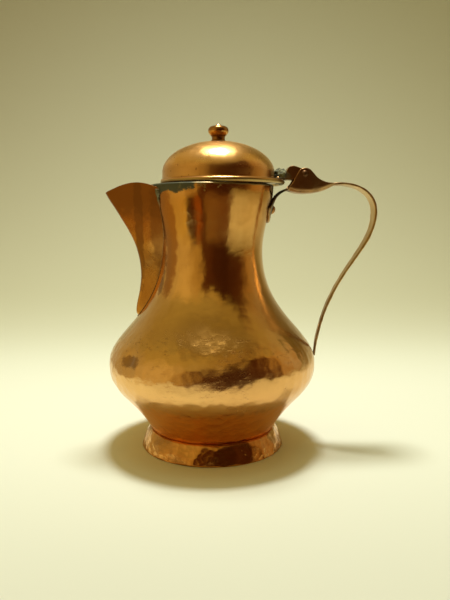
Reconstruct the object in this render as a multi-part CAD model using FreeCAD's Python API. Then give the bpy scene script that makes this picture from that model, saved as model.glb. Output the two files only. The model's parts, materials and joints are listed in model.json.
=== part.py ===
import FreeCAD, Part
import math
import os

# Copper coffee pot, in millimetres. +Z is up, the foot stands on Z 0 and the body turns about the Z axis.
# The spout points along -X, the handle along +X, and the lid hinge lies along Y.
# A leg is the reach of a curve's guide line from one of its ends, given as (out, up) or (along, up).

Vec = FreeCAD.Vector

# Vessel body
rim_radius = 41.8
rim_height = 180.0
waist_radius = 34.7
waist_height = 136.0
belly_radius = 71.3
belly_height = 59.0
base_radius = 40.0
base_height = 7.0
wall = 1.2
base_leg = (14.1, 31.5)
belly_leg_down = 20.2
belly_leg_up = 21.6
waist_leg_down = 44.2
waist_leg_up = 16.2
rim_leg = (0.4, -13.3)

# Bottom plate and foot ring
bottom_thickness = 1.5
foot_radius = 49.6
foot_height = 12.7
foot_sheet = 1.6
foot_bulge = 0.6
solder_gap = 0.1

# Spout: its nose and its seam on the neck are curves from the foot up to the mouth
spout_sheet = 1.1
spout_foot_height = 90.0
spout_foot_sink = 3.2
spout_foot_width = 7.2
spout_tip_reach = 29.4
spout_mouth_width = 51.0
spout_mouth_over_rim = 6.0
spout_nose_radius = 4.5
spout_nose_foot_leg = (17.5, 3.9)
spout_nose_mouth_leg = (-29.6, -62.5)
spout_seam_foot_leg = (6.1, 74.3)
spout_seam_mouth_leg = (-10.7, -69.8)
spout_root = 8.0
spout_sections = 7
spout_section_crowding = 1.4
# its top edge rises from the seam to a crest and droops at the tip
spout_crest = 0.9
spout_crest_out = 10.3
spout_drop = 4.6
spout_seam_drop = 3.4

# Pour window in the neck behind the spout
window_above_spout_foot = 33.0
window_below_rim = 14.0
window_width_bottom = 9.0
window_width_top = 26.0
window_corner = 3.5

# Lid
lid_gap = 0.25
lid_sheet = 1.2
flange_overhang = 0.2
flange_offset = 7.4
flange_edge = 3.2
dome_margin = 4.1
dome_offset = 4.5
dome_wall = 4.6
dome_height = 21.2

# Lid knob and its rivet
knob_radius = 6.9
knob_height = 10.0
knob_widest_height = 6.8
knob_stem_height = 2.4
knob_stem_radius = 4.4
knob_base_radius = 5.2
knob_top_radius = 3.4
knob_bore = 1.6
knob_rivet_head_radius = 2.4
knob_rivet_head_height = 1.5
knob_rivet_tail_radius = 2.8
knob_rivet_tail_height = 0.9
rivet_fit = 0.02
head_standoff = 0.15

# Hinge pin and hinge lug
hinge_behind_flange = 12.8
hinge_above_rim = 7.4
pin_radius = 1.3
pin_head_radius = 2.3
pin_head_height = 1.2
pin_fit = 0.05
ear_fit = 0.02
eye_radius = 3.3
lug_side_gap = 0.3
lug_dome_gap = 0.5
lug_tongue = 1.4
lug_tongue_length = 6.4
lug_seat_gap = 0.05
lug_heel = 1.0
lug_hump_foot = 0.5
lug_hump_foot_leg = 1.3
lug_hump_ahead = 7.7
lug_hump_rise = 5.4
lug_hump_front_leg = 5.4
lug_hump_back_leg = 2.6

# Lug rivets
lug_rivet_radius = 0.9
lug_rivet_head_radius = 1.8
lug_rivet_head_height = 1.2
lug_rivet_tail_radius = 1.2
lug_rivet_tail_height = 0.7
lug_rivet_pitch = 7.0
lug_rivet_inset = 1.95

# Handle: tab on the neck, riser, trough with the hinge ears, and the strap down to the belly
strap_sheet = 1.6
tab_width = 27.0
tab_top_width = 14.0
tab_bottom_below_rim = 25.5
tab_widest_below_rim = 15.0
tab_top_below_rim = 8.5
riser_below_rim = 12.0
riser_start_leg = 5.0
riser_end_leg = (-5.0, -1.6)
riser_side_inset = 0.6
trough_width = 16.0
trough_corner = 3.6
trough_depth_at_pin = 12.4
trough_ahead_of_pin = 11.2
trough_behind_pin = 20.4
trough_flat_ahead = 6.5
trough_flat_behind = 7.0
trough_front_lift = 1.6
trough_front_pinch = 0.4
trough_back_lift = 4.9
trough_lap = 0.3
ear_over_pin = 3.9
ear_front_drop = 9.2
ear_step_ahead = 8.6
ear_step_drop = 6.4
ear_crown_ahead = 3.6
ear_crown_behind = 4.6
ear_crown_fall = 1.6
ear_fall_leg = (4.0, -4.3)
ear_end_drop = 5.9
ear_end_leg = (-10.8, 0.5)
strap_width_at_trough = 15.6
strap_width_at_loop = 12.6
strap_width_at_belly = 4.0
strap_start_leg = (14.0, 1.8)
loop_behind_pin = 49.2
loop_below_pin = 25.9
loop_leg_up = 15.3
loop_leg_down = 27.5
strap_foot_above_belly = 3.0
strap_foot_leg = (5.5, 58.2)
strap_bite = 0.4

# Handle rivet
handle_rivet_below_rim = 16.4
handle_rivet_radius = 1.5
handle_rivet_head_radius = 3.1
handle_rivet_head_height = 2.0
handle_rivet_tail_radius = 2.6
handle_rivet_tail_height = 0.8

# Places worked out from the sizes above
lid_seat = rim_height + lid_gap
flange_radius = rim_radius + flange_overhang
flange_top = lid_seat + flange_edge
dome_radius = flange_radius - dome_margin
dome_spring = flange_top + dome_wall
dome_top = dome_spring + dome_height
hinge_x = flange_offset + flange_radius + hinge_behind_flange
hinge_z = rim_height + hinge_above_rim
ear_inner = trough_width / 2 - strap_sheet
far = 4 * belly_radius
up = Vec(0, 0, 1)
side = Vec(0, 1, 0)


def at(x, z):
    return Vec(x, 0, z)


def line(start, end):
    return Part.LineSegment(start, end).toShape()


def arc(start, middle, end):
    return Part.Arc(start, middle, end).toShape()


def bezier(points):
    curve = Part.BezierCurve()
    curve.setPoles(list(points))
    return curve


def legged(start, start_leg, end_leg, end):
    # a curve in the XZ plane that leaves its two ends along their legs
    return bezier([start, start + at(*start_leg), end + at(*end_leg), end])


def path(points):
    return [line(a, b) for a, b in zip(points, points[1:])]


def turned(edges, axis_x=0.0):
    # closes an outline in the XZ plane and turns it about an upright axis
    face = Part.Face(Part.Wire(Part.__sortEdges__(edges)))
    return face.revolve(at(axis_x, 0), up, 360)


def side_prism(edges, half_width):
    # closes an outline in the XZ plane and makes it a prism of that half width each way along Y
    face = Part.Face(Part.Wire(Part.__sortEdges__(edges)))
    face.translate(side * -half_width)
    return face.extrude(side * 2 * half_width)


def cylinder(radius, start, end):
    along = end - start
    return Part.makeCylinder(radius, along.Length, start, along)


def domed_head(radius, height, start, direction):
    # a rivet head: the cap of a ball, with its flat side at start
    ball_radius = (radius ** 2 + height ** 2) / (2 * height)
    ball = Part.makeSphere(ball_radius, start + direction * (height - ball_radius))
    return ball.common(Part.makeCylinder(radius + height, height, start, direction))


def parameter_at(curve, height):
    # where a rising curve reaches that height
    low = curve.FirstParameter
    high = curve.LastParameter
    for _ in range(40):
        middle = (low + high) / 2
        if curve.value(middle).z < height:
            low = middle
        else:
            high = middle
    return low


def offset_poles(poles, skin):
    # moves each leg of a control polygon sideways and takes the new corners where the legs cross
    legs = []
    for a, b in zip(poles, poles[1:]):
        along = (b - a).normalize()
        aside = at(along.z, -along.x) * skin
        legs.append((a + aside, along))
    moved = [legs[0][0]]
    for (start, along), (other, other_along) in zip(legs, legs[1:]):
        cross = along.x * other_along.z - along.z * other_along.x
        step = other - start
        reach = (step.x * other_along.z - step.z * other_along.x) / cross
        moved.append(start + along * reach)
    last = legs[-1][1]
    moved.append(poles[-1] + at(last.z, -last.x) * skin)
    return moved


def body_curves(skin=0.0):
    # the body's outline from the base to the rim, moved outwards by skin
    base = at(base_radius, base_height)
    belly = at(belly_radius, belly_height)
    waist = at(waist_radius, waist_height)
    rim = at(rim_radius, rim_height)
    lower = (base, base + at(*base_leg), belly - up * belly_leg_down, belly)
    shoulder = (belly, belly + up * belly_leg_up, waist - up * waist_leg_down, waist)
    neck = (waist, waist + up * waist_leg_up, rim + at(*rim_leg), rim)
    return [bezier(offset_poles(poles, skin)) for poles in (lower, shoulder, neck)]


def body_point(height, skin=0.0):
    # the point of the outline at that height, and the direction straight out of the body there
    for curve in body_curves(skin):
        if curve.EndPoint.z >= height:
            break
    place = parameter_at(curve, height)
    along = curve.tangent(place)[0]
    return curve.value(place), at(along.z, -along.x)


def body_radius(height):
    return body_point(min(height, rim_height))[0].x


def body_solid(skin, below=0.0, above=0.0):
    # everything inside the outline moved by skin, drawn out straight below the base and above the rim
    curves = body_curves(skin)
    foot = curves[0].StartPoint
    top = curves[-1].EndPoint
    lowest = base_height - below
    highest = rim_height + above
    corners = [top, at(top.x, highest), at(0, highest), at(0, lowest), at(foot.x, lowest), foot]
    edges = [curve.toShape() for curve in curves]
    for a, b in zip(corners, corners[1:]):
        if not a.isEqual(b, 1e-6):
            edges.append(line(a, b))
    return turned(edges)


def make_vessel_body():
    cavity = body_solid(-wall, wall, wall)
    floor_face = Part.makeBox(far, far, far, Vec(-far / 2, -far / 2, base_height - far))
    lid_face = Part.makeBox(far, far, far, Vec(-far / 2, -far / 2, rim_height))
    shell = body_solid(0.0).cut([cavity, floor_face, lid_face])
    return shell.cut([pour_window(), handle_rivet_hole()])


def pour_window():
    low = spout_foot_height + window_above_spout_foot
    high = rim_height - window_below_rim
    bottom = window_width_bottom / 2
    top = window_width_top / 2
    corners = [Vec(0, -bottom, low), Vec(0, bottom, low), Vec(0, top, high), Vec(0, -top, high)]
    prism = Part.Face(Part.makePolygon(corners + corners[:1])).extrude(Vec(-far, 0, 0))
    long_edges = [edge for edge in prism.Edges if abs(edge.tangentAt(0).x) > 0.99]
    return prism.makeFillet(window_corner, long_edges)


def make_bottom_plate():
    inside = body_solid(-wall - solder_gap, wall, wall)
    slab = Part.makeCylinder(belly_radius, bottom_thickness, at(0, base_height))
    return slab.common(inside)


def make_foot_ring():
    # the band's top edge closes on the body, its lower edge stands on the table
    top_outer = body_radius(foot_height) + solder_gap + foot_sheet
    inset = at(foot_sheet, 0)
    foot = at(foot_radius, 0)
    head = at(top_outer, foot_height)
    swell = (foot + head) / 2 + at(foot_bulge, 0)
    edges = [
        arc(foot, swell, head),
        line(head, head - inset),
        arc(head - inset, swell - inset, foot - inset),
        line(foot - inset, foot),
    ]
    return turned(edges).cut(body_solid(solder_gap))


def spout_section(height, reach, half_width, inset):
    # one level of the spout: two straight flanks that close on a rounded nose, open towards the neck
    radius = body_radius(height)
    nose = min(spout_nose_radius, half_width / 2) - inset / 2
    centre = at(-radius - reach + inset + nose, height)
    on_body = math.sqrt(radius ** 2 - half_width ** 2)
    seam = Vec(-min(on_body, radius + reach - 2 * (nose + inset)), inset - half_width, height)
    to_seam = seam - centre
    bearing = math.atan2(to_seam.y, to_seam.x)
    turn = math.acos(nose / math.hypot(to_seam.x, to_seam.y))
    touch = centre + Vec(math.cos(bearing - turn), math.sin(bearing - turn), 0) * nose
    root = seam + (seam - touch).normalize() * spout_root
    away = [Vec(point.x, -point.y, height) for point in (touch, root)]
    bend = arc(touch, centre - at(nose, 0), away[0])
    return Part.Wire(path([root, touch]) + [bend] + path(away + [root]))


def spout_loft(inset):
    low = spout_foot_height
    high = rim_height + spout_mouth_over_rim
    mouth_reach = spout_tip_reach + spout_mouth_over_rim
    nose_foot = at(-spout_foot_sink, low)
    nose_tip = at(mouth_reach, high)
    nose = legged(nose_foot, spout_nose_foot_leg, spout_nose_mouth_leg, nose_tip)
    seam_foot = at(spout_foot_width / 2, low)
    seam_end = at(spout_mouth_width / 2, high)
    seam = legged(seam_foot, spout_seam_foot_leg, spout_seam_mouth_leg, seam_end)
    sections = []
    for number in range(spout_sections):
        share = (number / (spout_sections - 1)) ** spout_section_crowding
        height = low + (high - low) * share
        reach = nose.value(parameter_at(nose, height)).x
        half_width = seam.value(parameter_at(seam, height)).x
        sections.append(spout_section(height, reach, half_width, inset))
    return Part.makeLoft(sections, True, False)


def spout_top_trim():
    # everything under the spout's top edge, which arches up from the neck and droops at the tip
    tip = -rim_radius - spout_tip_reach
    seam = -math.sqrt(rim_radius ** 2 - (spout_mouth_width / 2) ** 2)
    edge = Part.BSplineCurve()
    edge.interpolate([
        at(seam / 2, rim_height - spout_seam_drop - spout_crest),
        at(seam, rim_height - spout_seam_drop),
        at(-rim_radius - spout_crest_out, rim_height + spout_crest),
        at(tip, rim_height - spout_drop),
        at(tip - spout_nose_radius, rim_height - spout_drop - spout_crest),
    ])
    start = edge.StartPoint
    end = edge.EndPoint
    return side_prism([edge.toShape()] + path([end, at(end.x, 0), at(start.x, 0), start]), far)


def make_spout():
    sheet = spout_loft(0.0).cut(spout_loft(spout_sheet))
    return sheet.common(spout_top_trim()).cut(body_solid(solder_gap, above=far))


def dome_solid(inset):
    # the dome filled up, its sheet taken off by inset: an upright wall and half an ellipse on top
    radius = dome_radius - inset
    floor = at(dome_offset, lid_seat)
    foot = at(dome_offset + radius, lid_seat)
    spring = at(dome_offset + radius, dome_spring)
    top = at(dome_offset, dome_top - inset)
    if dome_height - inset > radius:
        ellipse = Part.Ellipse(top, spring, at(dome_offset, dome_spring))
    else:
        ellipse = Part.Ellipse(spring, top, at(dome_offset, dome_spring))
    ends = sorted((ellipse.parameter(spring), ellipse.parameter(top)))
    return turned(path([top, floor, foot, spring]) + [ellipse.toShape(*ends)], dome_offset)


def make_lid():
    half = flange_edge / 2
    outer = flange_offset + flange_radius
    bead = outer - half
    inner = bead - half
    underside = flange_top - lid_sheet
    middle = at(flange_offset, flange_top)
    edges = [
        line(middle, at(bead, flange_top)),
        arc(at(bead, flange_top), at(outer, lid_seat + half), at(bead, lid_seat)),
    ]
    edges += path([at(bead, lid_seat), at(inner, lid_seat), at(inner, underside)])
    edges += path([at(inner, underside), at(flange_offset, underside), middle])
    flange = turned(edges, flange_offset)
    above = Part.makeBox(far, far, far, Vec(-far / 2, -far / 2, underside))
    dome = dome_solid(0.0).common(above)
    lid = flange.fuse(dome).cut(dome_solid(lid_sheet))
    knob_seat = at(dome_offset, dome_top + wall)
    knob_hole = cylinder(knob_bore + rivet_fit, at(dome_offset, dome_spring), knob_seat)
    holes = [knob_hole] + [lug_rivet_hole(y) for y in lug_rivet_places()]
    return lid.cut(holes).removeSplitter()


def make_lid_knob():
    # flattened ball on a waisted stem that flares onto the dome
    low = dome_top - lid_sheet
    high = dome_top + knob_height
    base = at(dome_offset + knob_base_radius, dome_top)
    stem = at(dome_offset + knob_stem_radius, dome_top + knob_stem_height)
    widest = at(dome_offset + knob_radius, dome_top + knob_widest_height)
    top = at(dome_offset + knob_top_radius, high)
    third = knob_stem_height / 3
    swell = (knob_widest_height - knob_stem_height) / 2
    crown = (knob_height - knob_widest_height) * 3 / 4
    flare = legged(base, (stem.x - base.x, third), (0, -2 * third), stem)
    under = legged(stem, (0, swell / 2), (0, -swell), widest)
    over = legged(widest, (0, crown), ((widest.x - top.x) / 2, 0), top)
    ends = path([top, at(dome_offset, high), at(dome_offset, low), at(base.x, low), base])
    knob = turned([flare.toShape(), under.toShape(), over.toShape()] + ends, dome_offset)
    bore = cylinder(knob_bore + rivet_fit, at(dome_offset, low), at(dome_offset, high))
    return knob.cut([dome_solid(-rivet_fit), bore])


def make_knob_rivet():
    head_seat = at(dome_offset, dome_top + knob_height)
    tail_seat = at(dome_offset, dome_top - lid_sheet - head_standoff)
    shank = cylinder(knob_bore, tail_seat, head_seat)
    head = domed_head(knob_rivet_head_radius, knob_rivet_head_height, head_seat, up)
    tail = domed_head(knob_rivet_tail_radius, knob_rivet_tail_height, tail_seat, -up)
    return shank.fuse([head, tail]).removeSplitter()


def hinge_point(along, above, y=0.0):
    return Vec(hinge_x + along, y, hinge_z + above)


def make_hinge_pin():
    half = trough_width / 2 + head_standoff
    near = hinge_point(0, 0, -half)
    away = hinge_point(0, 0, half)
    near_head = domed_head(pin_head_radius, pin_head_height, near, -side)
    away_head = domed_head(pin_head_radius, pin_head_height, away, side)
    return cylinder(pin_radius, near, away).fuse([near_head, away_head]).removeSplitter()


def lug_tongue_start():
    return dome_offset + dome_radius + lug_dome_gap


def lug_rivet_places():
    return (-lug_rivet_pitch / 2, lug_rivet_pitch / 2)


def lug_rivet_point(y, height):
    return Vec(lug_tongue_start() + lug_rivet_inset, y, height)


def lug_rivet_hole(y):
    high = flange_top + lug_seat_gap + 2 * lug_tongue
    return cylinder(lug_rivet_radius + rivet_fit, lug_rivet_point(y, lid_seat), lug_rivet_point(y, high))


def make_hinge_lug():
    # a tongue on the flange, a forged hump and the eye on the pin, all one piece
    seat = flange_top + lug_seat_gap
    deck = seat + lug_tongue
    start = lug_tongue_start()
    tongue_end = start + lug_tongue_length
    hump_foot = at(tongue_end - lug_hump_foot, deck)
    hump = hinge_point(-lug_hump_ahead, lug_hump_rise)
    eye_top = hinge_point(0, eye_radius)
    eye_bottom = hinge_point(0, -eye_radius)
    rise = legged(hump_foot, (lug_hump_foot_leg, 0), (-lug_hump_front_leg, 0), hump)
    crown = legged(hump, (lug_hump_back_leg, 0), (-lug_hump_back_leg, 0), eye_top)
    edges = [
        line(at(start, deck), hump_foot),
        rise.toShape(),
        crown.toShape(),
        arc(eye_top, hinge_point(eye_radius, 0), eye_bottom),
    ]
    edges += path([eye_bottom, at(tongue_end + lug_heel, seat), at(start, seat), at(start, deck)])
    lug = side_prism(edges, ear_inner - lug_side_gap)
    bore = cylinder(pin_radius + pin_fit, hinge_point(0, 0, -far), hinge_point(0, 0, far))
    return lug.cut([bore, dome_solid(-solder_gap)] + [lug_rivet_hole(y) for y in lug_rivet_places()])


def make_lug_rivets():
    rivets = []
    for y in lug_rivet_places():
        head_seat = lug_rivet_point(y, flange_top + lug_seat_gap + lug_tongue)
        tail_seat = lug_rivet_point(y, flange_top - lid_sheet)
        shank = cylinder(lug_rivet_radius, tail_seat, head_seat)
        head = domed_head(lug_rivet_head_radius, lug_rivet_head_height, head_seat, up)
        tail = domed_head(lug_rivet_tail_radius, lug_rivet_tail_height, tail_seat, -up)
        rivets.append(shank.fuse([head, tail]).removeSplitter())
    return Part.makeCompound(rivets)


def ribbon(curve, start_width, end_width):
    # a strip of sheet that tapers along a curve of the XZ plane, its sheet evenly on both sides of it
    poles = curve.getPoles()
    halves = []
    for number in range(len(poles)):
        share = number / (len(poles) - 1)
        halves.append((start_width + (end_width - start_width) * share) / 2)
    near = bezier([pole - side * half for pole, half in zip(poles, halves)])
    away = bezier([pole + side * half for pole, half in zip(poles, halves)])
    strip = Part.makeRuledSurface(near.toShape(), away.toShape())
    middle = strip.makeOffsetShape(-strap_sheet / 2, 1e-4)
    return middle.makeOffsetShape(strap_sheet, 1e-4, fill=True)


def round_corner(centre, across, upright):
    # a quarter bend of sheet between two directions, from across to upright
    between = (across + upright) * math.sqrt(0.5)
    return arc(centre + across, centre + between, centre + upright)


def trough_section(along, depth, half):
    # a channel of sheet with rounded corners, seen along X, its walls drawn up past the ears
    floor = -depth
    brim = 2 * ear_over_pin
    inner = trough_corner - strap_sheet
    bend = floor + trough_corner
    left = hinge_point(along, bend, trough_corner - half)
    right = hinge_point(along, bend, half - trough_corner)

    def wall_run(y):
        return line(hinge_point(along, brim, y), hinge_point(along, bend, y))

    edges = []
    for radius, y in ((trough_corner, half), (inner, half - strap_sheet)):
        edges += [wall_run(-y), wall_run(y)]
        edges += [round_corner(left, side * -radius, up * -radius)]
        edges += [round_corner(right, side * radius, up * -radius)]
        edges += [line(left - up * radius, right - up * radius)]
    for y in (-half, half - strap_sheet):
        edges += [line(hinge_point(along, brim, y), hinge_point(along, brim, y + strap_sheet))]
    return Part.Wire(Part.__sortEdges__(edges))


def ear_outline():
    # the trough's upper edge from the side: up the front of the ear, over the pin and down into the strap
    front = hinge_point(-trough_ahead_of_pin, -ear_front_drop)
    step = hinge_point(-ear_step_ahead, -ear_step_drop)
    shoulder = hinge_point(-ear_crown_ahead, ear_over_pin - ear_crown_fall)
    crown = hinge_point(0, ear_over_pin)
    brow = hinge_point(ear_crown_behind, ear_over_pin - ear_crown_fall)
    end = hinge_point(trough_behind_pin, -ear_end_drop)
    fall = legged(brow, ear_fall_leg, ear_end_leg, end)
    under = hinge_z - 4 * trough_depth_at_pin
    edges = path([front, step, shoulder]) + [arc(shoulder, crown, brow), fall.toShape()]
    return edges + path([end, at(end.x, under), at(front.x, under), front])


def make_trough():
    half = trough_width / 2
    depth = trough_depth_at_pin
    halfway = (trough_flat_behind + trough_behind_pin) / 2
    sections = [
        trough_section(-trough_ahead_of_pin, depth - trough_front_lift, half - trough_front_pinch),
        trough_section(-trough_flat_ahead, depth, half),
        trough_section(trough_flat_behind, depth, half),
        trough_section(halfway, depth - trough_back_lift / 3, half),
        trough_section(trough_behind_pin, depth - trough_back_lift, strap_width_at_trough / 2),
    ]
    channel = Part.makeLoft(sections, True, False)
    trimmed = channel.common(side_prism(ear_outline(), trough_width))
    hole = cylinder(pin_radius + ear_fit, hinge_point(0, 0, -far), hinge_point(0, 0, far))
    return trimmed.cut(hole)


def make_tab():
    # a spade-shaped end of the strap that lies on the neck
    half = tab_width / 2
    neck_half = tab_top_width / 2
    widest = rim_height - tab_widest_below_rim
    top = rim_height - tab_top_below_rim
    left = Vec(0, -half, widest)
    right = Vec(0, half, widest)
    edges = [arc(left, at(0, rim_height - tab_bottom_below_rim), right)]
    edges += path([right, Vec(0, neck_half, top), Vec(0, -neck_half, top), left])
    prism = Part.Face(Part.Wire(edges)).extrude(Vec(far, 0, 0))
    skin = body_solid(solder_gap + strap_sheet, above=wall).cut(body_solid(solder_gap, above=2 * wall))
    return skin.common(prism)


def make_riser():
    # from the tab out to the trough's floor
    start, out = body_point(rim_height - riser_below_rim, solder_gap + strap_sheet / 2)
    start_leg = (-out.z * riser_start_leg, out.x * riser_start_leg)
    floor = trough_front_lift - trough_depth_at_pin + strap_sheet / 2
    end = hinge_point(trough_lap - trough_ahead_of_pin, floor)
    curve = legged(start, start_leg, riser_end_leg, end)
    return ribbon(curve, tab_top_width, trough_width - 2 * riser_side_inset)


def make_strap():
    floor = trough_back_lift - trough_depth_at_pin + strap_sheet / 2
    start = hinge_point(trough_behind_pin - trough_lap, floor)
    loop = hinge_point(loop_behind_pin, -loop_below_pin)
    foot_height = belly_height + strap_foot_above_belly
    foot = body_point(foot_height, strap_sheet / 2 + solder_gap - strap_bite)[0]
    upper = legged(start, strap_start_leg, (0, loop_leg_up), loop)
    lower = legged(loop, (0, -loop_leg_down), strap_foot_leg, foot)
    upper_strap = ribbon(upper, strap_width_at_trough, strap_width_at_loop)
    return upper_strap.fuse(ribbon(lower, strap_width_at_loop, strap_width_at_belly))


def make_handle():
    handle = make_trough().fuse([make_tab(), make_riser(), make_strap()])
    return handle.cut([body_solid(solder_gap, above=2 * wall), handle_rivet_hole()]).removeSplitter()


def handle_rivet_seat():
    # the point on the tab's face under the rivet's head, and the direction out of it
    return body_point(rim_height - handle_rivet_below_rim, solder_gap + strap_sheet)


def handle_rivet_hole():
    seat, out = handle_rivet_seat()
    inside = seat - out * (4 * wall + strap_sheet)
    return cylinder(handle_rivet_radius + rivet_fit, inside, seat + out * wall)


def make_handle_rivet():
    # flat seats on a round wall, so each head stands off it by a little
    seat, out = handle_rivet_seat()
    head_seat = seat + out * head_standoff
    tail_seat = seat - out * (strap_sheet + solder_gap + wall + head_standoff)
    shank = cylinder(handle_rivet_radius, tail_seat, head_seat)
    head = domed_head(handle_rivet_head_radius, handle_rivet_head_height, head_seat, out)
    tail = domed_head(handle_rivet_tail_radius, handle_rivet_tail_height, tail_seat, -out)
    return shank.fuse([head, tail]).removeSplitter()


nodes = {
    "vessel_body": make_vessel_body,
    "bottom_plate": make_bottom_plate,
    "foot_ring": make_foot_ring,
    "spout": make_spout,
    "handle": make_handle,
    "handle_rivet": make_handle_rivet,
    "hinge_pin": make_hinge_pin,
    "lid": make_lid,
    "lid_knob": make_lid_knob,
    "knob_rivet": make_knob_rivet,
    "hinge_lug": make_hinge_lug,
    "lug_rivets": make_lug_rivets,
}

os.makedirs("parts", exist_ok=True)
for node, make in nodes.items():
    shape = make()
    print(node, shape.ShapeType, len(shape.Solids), shape.isValid(), round(shape.Volume, 1))
    shape.exportStep("parts/" + node + ".step")
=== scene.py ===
import json
import math
import bmesh
import bpy
import numpy as np
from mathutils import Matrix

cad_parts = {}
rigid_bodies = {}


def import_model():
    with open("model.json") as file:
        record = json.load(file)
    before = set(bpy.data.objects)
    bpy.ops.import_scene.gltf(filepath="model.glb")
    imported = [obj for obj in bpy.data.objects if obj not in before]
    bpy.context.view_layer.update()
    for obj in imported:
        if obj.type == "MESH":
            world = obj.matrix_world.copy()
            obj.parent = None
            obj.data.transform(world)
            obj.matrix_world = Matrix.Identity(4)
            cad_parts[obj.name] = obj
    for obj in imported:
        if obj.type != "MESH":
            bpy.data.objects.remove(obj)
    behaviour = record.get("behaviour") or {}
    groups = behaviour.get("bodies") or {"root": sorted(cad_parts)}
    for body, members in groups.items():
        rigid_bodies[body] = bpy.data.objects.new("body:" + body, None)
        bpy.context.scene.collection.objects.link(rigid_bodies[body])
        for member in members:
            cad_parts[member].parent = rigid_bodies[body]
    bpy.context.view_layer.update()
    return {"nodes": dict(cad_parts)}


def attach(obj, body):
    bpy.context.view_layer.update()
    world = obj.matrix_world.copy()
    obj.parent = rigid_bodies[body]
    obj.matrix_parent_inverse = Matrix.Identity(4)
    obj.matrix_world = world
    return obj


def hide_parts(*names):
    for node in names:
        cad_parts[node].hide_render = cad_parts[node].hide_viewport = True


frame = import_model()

scene = bpy.context.scene
scene.view_settings.view_transform = "Standard"
mm = 0.001
fullTurn = 2 * math.pi
mergeGap = 1e-7
print("frame loaded:", len(frame["nodes"]), "nodes")


def addObject(name, data):
    obj = bpy.data.objects.new(name, data)
    scene.collection.objects.link(obj)
    return obj


def gridMesh(name, points, wrapRows=False, wrapColumns=False, poles=()):
    # points is rows x columns x 3; poles are (row, point) caps for the first or last row
    rows, columns = points.shape[:2]
    index = np.arange(rows * columns).reshape(rows, columns)
    verts = points.reshape(-1, 3).tolist()
    down = np.vstack([index, index[:1]]) if wrapRows else index
    across = np.hstack([down, down[:, :1]]) if wrapColumns else down
    corners = [across[:-1, :-1], across[:-1, 1:], across[1:, 1:], across[1:, :-1]]
    faces = np.stack(corners, -1).reshape(-1, 4).tolist()
    for row, point in poles:
        verts.append(tuple(point))
        ring = np.append(index[row], index[row][:1])
        faces += [(int(a), int(b), len(verts) - 1) for a, b in zip(ring[:-1], ring[1:])]
    mesh = bpy.data.meshes.new(name)
    mesh.from_pydata(verts, [], faces)
    return mesh


def setShare(mesh, values, name="dentShare"):
    attribute = mesh.attributes.new(name, "FLOAT", "POINT")
    full = np.zeros(len(mesh.vertices), np.float32)
    full[:len(values)] = values
    attribute.data.foreach_set("value", full)


def faceOutwards(mesh):
    bm = bmesh.new()
    bm.from_mesh(mesh)
    bmesh.ops.remove_doubles(bm, verts=bm.verts, dist=mergeGap)
    bmesh.ops.recalc_face_normals(bm, faces=bm.faces)
    bm.to_mesh(mesh)
    bm.free()


def settle(obj):
    # the modifiers' result becomes the plain mesh
    graph = bpy.context.evaluated_depsgraph_get()
    mesh = bpy.data.meshes.new_from_object(obj.evaluated_get(graph))
    obj.modifiers.clear()
    obj.data = mesh
    mesh.shade_smooth()
    return obj


def bezier(p0, p1, p2, p3, count):
    t = np.linspace(0, 1, count)[:, None]
    p0, p1, p2, p3 = (np.array(p, float) for p in (p0, p1, p2, p3))
    return (1 - t) ** 3 * p0 + 3 * (1 - t) ** 2 * t * p1 + 3 * (1 - t) * t ** 2 * p2 + t ** 3 * p3


def evenly(points, count):
    # the same line with its points an even way apart
    steps = np.linalg.norm(np.diff(points, axis=0), axis=1)
    way = np.insert(np.cumsum(steps), 0, 0)
    wanted = np.linspace(0, way[-1], count)
    return np.stack([np.interp(wanted, way, points[:, k]) for k in range(points.shape[1])], 1)


def arcPoints(centre, radius, startDeg, endDeg, count):
    angle = np.radians(np.linspace(startDeg, endDeg, count))
    return np.stack([centre[0] + radius * np.cos(angle), centre[1] + radius * np.sin(angle)], 1)


def ringAngles(columns):
    return np.linspace(0, fullTurn, columns, endpoint=False)


def turnRows(profile, columns):
    # profile is (radius, height) rows turned about the pot's axis
    angle = ringAngles(columns)
    radius = profile[:, 0][:, None]
    height = np.repeat(profile[:, 1][:, None], columns, 1)
    return np.stack([radius * np.cos(angle), radius * np.sin(angle), height], -1)


def fade(values, start, end):
    # 0 up to start and 1 from end on, also where end is the lower of the two
    return np.clip((values - start) / (end - start), 0, 1)


def setInputs(tree, node, inputs):
    for key, value in inputs.items():
        if isinstance(value, bpy.types.NodeSocket):
            tree.links.new(value, node.inputs[key])
        else:
            node.inputs[key].default_value = value


def addNode(tree, kind, inputs=None, **settings):
    node = tree.nodes.new(kind)
    for key, value in settings.items():
        setattr(node, key, value)
    setInputs(tree, node, inputs or {})
    return node


def mathNode(tree, operation, a, b=0.0, clamp=False):
    return addNode(tree, "ShaderNodeMath", {0: a, 1: b}, operation=operation, use_clamp=clamp).outputs[0]


def times(tree, a, b):
    return mathNode(tree, "MULTIPLY", a, b)


def plus(tree, a, b):
    return mathNode(tree, "ADD", a, b)


def minus(tree, a, b):
    return mathNode(tree, "SUBTRACT", a, b)


def oneOver(tree, a):
    return mathNode(tree, "DIVIDE", 1.0, a)


def vectorNode(tree, operation, a, b):
    return addNode(tree, "ShaderNodeVectorMath", {0: a, 1: b}, operation=operation).outputs[0]


def joinXyz(tree, x, y, z):
    return addNode(tree, "ShaderNodeCombineXYZ", {0: x, 1: y, 2: z}).outputs[0]


def splitXyz(tree, vector):
    return addNode(tree, "ShaderNodeSeparateXYZ", {0: vector}).outputs


def noise(tree, vector, scale, detail=2.0, roughness=0.5, distortion=0.0):
    return addNode(tree, "ShaderNodeTexNoise", {"Vector": vector, "Scale": scale, "Detail": detail,
                                                "Roughness": roughness, "Distortion": distortion}).outputs[0]


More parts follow.
